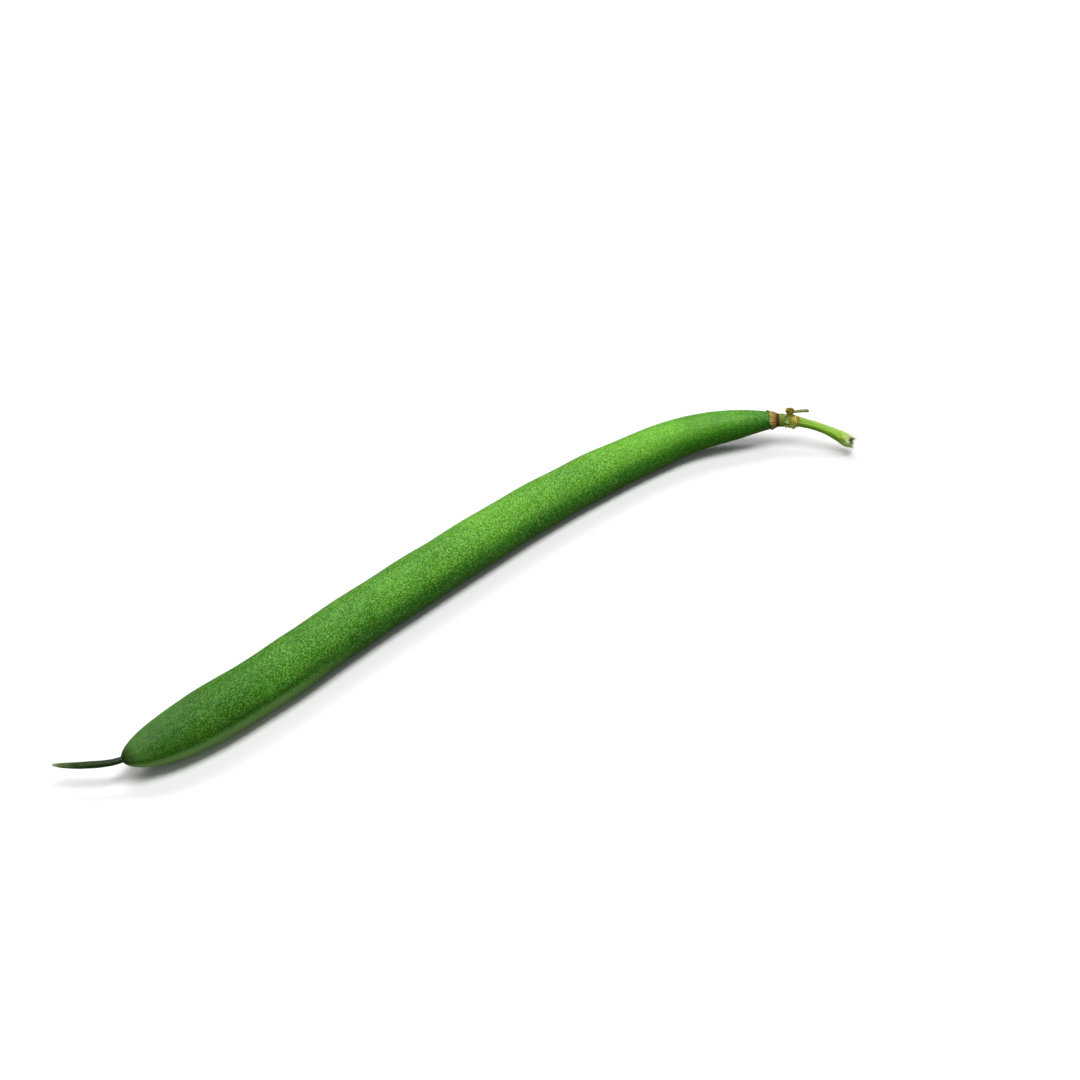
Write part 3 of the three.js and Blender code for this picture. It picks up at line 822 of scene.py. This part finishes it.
# Torn fibres stand out of the broken end.
FIBRE_COUNT = 30
FIBRE_GIRTH = 0.13
FIBRE_POINTS = 9
last_row = STALK_ROWS - 1
rng = np.random.default_rng(7)
for fibre in range(FIBRE_COUNT):
    turned = 2 * np.pi * fibre / FIBRE_COUNT + rng.uniform(-0.08, 0.08)
    column = int(round(turned / (2 * np.pi) * STALK_COLUMNS)) % STALK_COLUMNS
    root = stalk_grid[last_row - 6, column]
    rim = stalk_grid[last_row, column]
    heading = unit(rim - stalk_grid[last_row - 13, column])
    outward = unit(rim - axis[last_row, 0])
    length = rng.uniform(0.15, 0.6)
    t = np.linspace(0, 1, FIBRE_POINTS)[:, None]
    bend = rng.uniform(-0.15, 0.25)
    path = root - 0.06 * outward + t * (rim - root + heading * length) + bend * t ** 2 * outward
    girths = FIBRE_GIRTH * rng.uniform(0.7, 1.5) * np.linspace(1, 0.35, FIBRE_POINTS)
    more_points, more_faces = tapered(path, girths, 8, 0.02)
    fibre_masks = {name: np.zeros(len(more_points)) for name in masks}
    fibre_masks["grown"] = more_points.copy()
    fibre_masks["grown"][:, 0] = STALK_LENGTH
    fibre_masks["pale"] += 1
    stalk_points, stalk_faces, masks = join(
        stalk_points, stalk_faces, masks, more_points, more_faces, fibre_masks)

# Young stem skin: satin, yellow-green with cream ribs, grey-green on the bean's own short stalk. Where it is
# corky it is brown and matt, and the torn pith is nearly white.
STEM_GREENS = [
    (0, "#768a2c"), (0.9, "#7c922e"), (1.1, "#6e8228"), (2.1, "#809834"), (3.4, "#9ca832"), (4.2, "#8ec02a"),
    (8, "#8ec62a"), (11, "#9ccc3c"), (11.9, "#b4d85c"), (12.6, "#e0eeb0"), (13, "#f2f8d4"),
]
RIB_CREAM = "#bad07c"
WART_GREEN = "#c0da8c"
CORK_BROWNS = [(0.3, "#62441a"), (0.42, "#aa9238"), (0.52, "#d2ca5e"), (0.7, "#e8e484")]
RUST = "#6a3a18"
HOLLOW_SHADE_GREEN = "#36420f"
STEM_FIBRE_WIDTH = 0.12
STEM_FIBRE_STRETCH = 0.08
STEM_BLOTCH_SIZE = 0.6
stem_skin, tree, shader = material("young stem skin")
grown = node(tree, "Attribute", attribute_name="grown").outputs["Vector"]
brown = node(tree, "Attribute", attribute_name="brown").outputs["Fac"]
rust = node(tree, "Attribute", attribute_name="rust").outputs["Fac"]
pale = node(tree, "Attribute", attribute_name="pale").outputs["Fac"]
hollow_shade = node(tree, "Attribute", attribute_name="hollow_shade").outputs["Fac"]
wart = node(tree, "Attribute", attribute_name="wart").outputs["Fac"]
place = node(tree, "SeparateXYZ", {"Vector": grown})
share = node(tree, "MapRange", {"Value": place.outputs["X"], "From Min": 0, "From Max": STALK_LENGTH})
greens = node(tree, "ValToRGB", {"Fac": share}, stops=[
    (at / STALK_LENGTH, linear(tone)) for at, tone in STEM_GREENS
])
fine = node(tree, "VectorMath", {0: grown, 1: (STEM_FIBRE_STRETCH, 1, 1)}, operation="MULTIPLY")
fibres = node(tree, "TexNoise", {"Vector": fine, "Scale": 1 / STEM_FIBRE_WIDTH, "Detail": 2})
blotches = node(tree, "TexNoise", {
    "Vector": grown, "Scale": 1 / STEM_BLOTCH_SIZE, "Detail": 4, "Roughness": 0.65,
})
colour = node(tree, "MixRGB", {"Fac": pale, "Color1": greens, "Color2": linear(RIB_CREAM)})
fibrous = node(tree, "MapRange", {
    "Value": fibres, "From Min": 0.3, "From Max": 0.7, "To Min": 0.8, "To Max": 1.15,
})
colour = node(tree, "HueSaturation", {"Color": colour, "Value": fibrous})
warty = node(tree, "MapRange", {
    "Value": wart, "From Min": 0.05, "From Max": 0.16, "To Min": 0, "To Max": 0.9,
})
colour = node(tree, "MixRGB", {"Fac": warty, "Color1": colour, "Color2": linear(WART_GREEN)})
cork = node(tree, "ValToRGB", {"Fac": blotches}, stops=[
    (at, linear(tone)) for at, tone in CORK_BROWNS
])
colour = node(tree, "MixRGB", {"Fac": brown, "Color1": colour, "Color2": cork})
colour = node(tree, "MixRGB", {"Fac": rust, "Color1": colour, "Color2": linear(RUST)})
# Painted shade: the torn inside is painted darker deeper in.
colour = node(tree, "MixRGB", {"Fac": hollow_shade, "Color1": colour, "Color2": linear(HOLLOW_SHADE_GREEN)})
tree.links.new(colour.outputs[0], shader.inputs["Base Color"])
dullness = node(tree, "MapRange", {"Value": brown, "To Min": 0.5, "To Max": 0.85})
tree.links.new(dullness.outputs[0], shader.inputs["Roughness"])
relief = node(tree, "Bump", {"Height": fibres, "Distance": 0.03 * MM, "Strength": 1})
relief = node(tree, "Bump", {
    "Height": blotches, "Distance": 0.06 * MM, "Strength": 1, "Normal": relief,
})
tree.links.new(relief.outputs[0], shader.inputs["Normal"])
shader.inputs["IOR"].default_value = 1.45
shader.inputs["Specular IOR Level"].default_value = 0.3
shader.inputs["Subsurface Weight"].default_value = 0.15
shader.inputs["Subsurface Radius"].default_value = (0.5, 0.8, 0.2)
shader.inputs["Subsurface Scale"].default_value = 0.6 * MM
piece("stalk", stalk_points, stalk_faces, masks, stem_skin, "stalk")


# The withered bud: a flower that never opened, dried to a hard wrinkled knot on its spur, with the thin dry
# twig of the flower stalk.
KNOT_SIZE = 1.2
KNOT_SHAPE = (1.25, 1, 0.84)  # along the stalk, sideways and up
FOLD_SIZE = 0.55
FOLD_HEIGHT = 0.55
CREASE_SPACING = 0.28
CREASE_HEIGHT = 0.25
TWIG_LENGTH = 3.3
TWIG_DROP = 0.25
TWIG_GIRTH = [(0, 0.5), (0.5, 0.5), (0.85, 0.58), (0.96, 0.54), (1, 0.34)]
TWIG_POINTS = 60
heart = spur_point + spur_up * (SPUR_HEIGHT + JOINT_GAP + 0.42 * KNOT_SIZE)
ball = bmesh.new()
bmesh.ops.create_icosphere(ball, subdivisions=6, radius=0.5)
ball.verts.ensure_lookup_table()
rays = np.array([vertex.co for vertex in ball.verts])
knot_faces = [[corner.index for corner in face.verts] for face in ball.faces]
ball.free()
folds = np.abs(wander(rays * 3 + 2, FOLD_SIZE)) - 0.25
creases = np.abs(wander(rays * 3 + 8, CREASE_SPACING)) - 0.25
swollen = rays * (1 + FOLD_HEIGHT * folds + CREASE_HEIGHT * creases)[:, None] * KNOT_SIZE * KNOT_SHAPE
knot_points = heart + swollen @ np.array([spur_along, spur_side, spur_up])
crest = np.clip(0.5 + 1.6 * folds + 0.8 * creases, 0, 1)
bud_masks = {"grown": knot_points, "crest": crest, "twig": np.zeros(len(knot_points))}

twig_aim = unit(spur_along + 0.12 * spur_side + 0.1 * spur_up)
twig_t = np.linspace(0, 1, TWIG_POINTS)
twig_rise = 0.1 * np.sin(2.6 * twig_t) - TWIG_DROP
twig_path = heart + TWIG_LENGTH * twig_t[:, None] * twig_aim + twig_rise[:, None] * spur_up
more_points, more_faces = tapered(twig_path, through(TWIG_GIRTH, twig_t), 20, 0.05)
twig_masks = {
    "grown": more_points,
    "crest": np.full(len(more_points), 0.7),
    "twig": np.ones(len(more_points)),
}
bud_points, bud_faces, bud_masks = join(
    knot_points, knot_faces, bud_masks, more_points, more_faces, twig_masks)

# Dead bud tissue: hard, dry and matt, golden brown on its folds and nearly black in its creases. The twig
# has weathered to a grey straw.
KNOT_BROWNS = [(0, "#22180a"), (0.3, "#5c4a14"), (0.6, "#928222"), (1, "#b6a83e")]
TWIG_STRAWS = [(0.3, "#76783f"), (0.7, "#a9ab6e")]
SPECKLE_SIZE = 0.15
dead_bud, tree, shader = material("dead bud tissue")
grown = node(tree, "Attribute", attribute_name="grown").outputs["Vector"]
crest = node(tree, "Attribute", attribute_name="crest").outputs["Fac"]
twig = node(tree, "Attribute", attribute_name="twig").outputs["Fac"]
speckle = node(tree, "TexNoise", {"Vector": grown, "Scale": 1 / SPECKLE_SIZE, "Detail": 3})
knot_tone = node(tree, "ValToRGB", {"Fac": crest}, stops=[
    (at, linear(tone)) for at, tone in KNOT_BROWNS
])
twig_tone = node(tree, "ValToRGB", {"Fac": speckle}, stops=[
    (at, linear(tone)) for at, tone in TWIG_STRAWS
])
colour = node(tree, "MixRGB", {"Fac": twig, "Color1": knot_tone, "Color2": twig_tone})
speckled = node(tree, "MapRange", {
    "Value": speckle, "From Min": 0.3, "From Max": 0.7, "To Min": 0.75, "To Max": 1.2,
})
colour = node(tree, "HueSaturation", {"Color": colour, "Value": speckled})
tree.links.new(colour.outputs[0], shader.inputs["Base Color"])
relief = node(tree, "Bump", {"Height": speckle, "Distance": 0.04 * MM, "Strength": 1})
tree.links.new(relief.outputs[0], shader.inputs["Normal"])
shader.inputs["Roughness"].default_value = 0.85
shader.inputs["Specular IOR Level"].default_value = 0.25
piece("bud", bud_points, bud_faces, bud_masks, dead_bud, "bud")
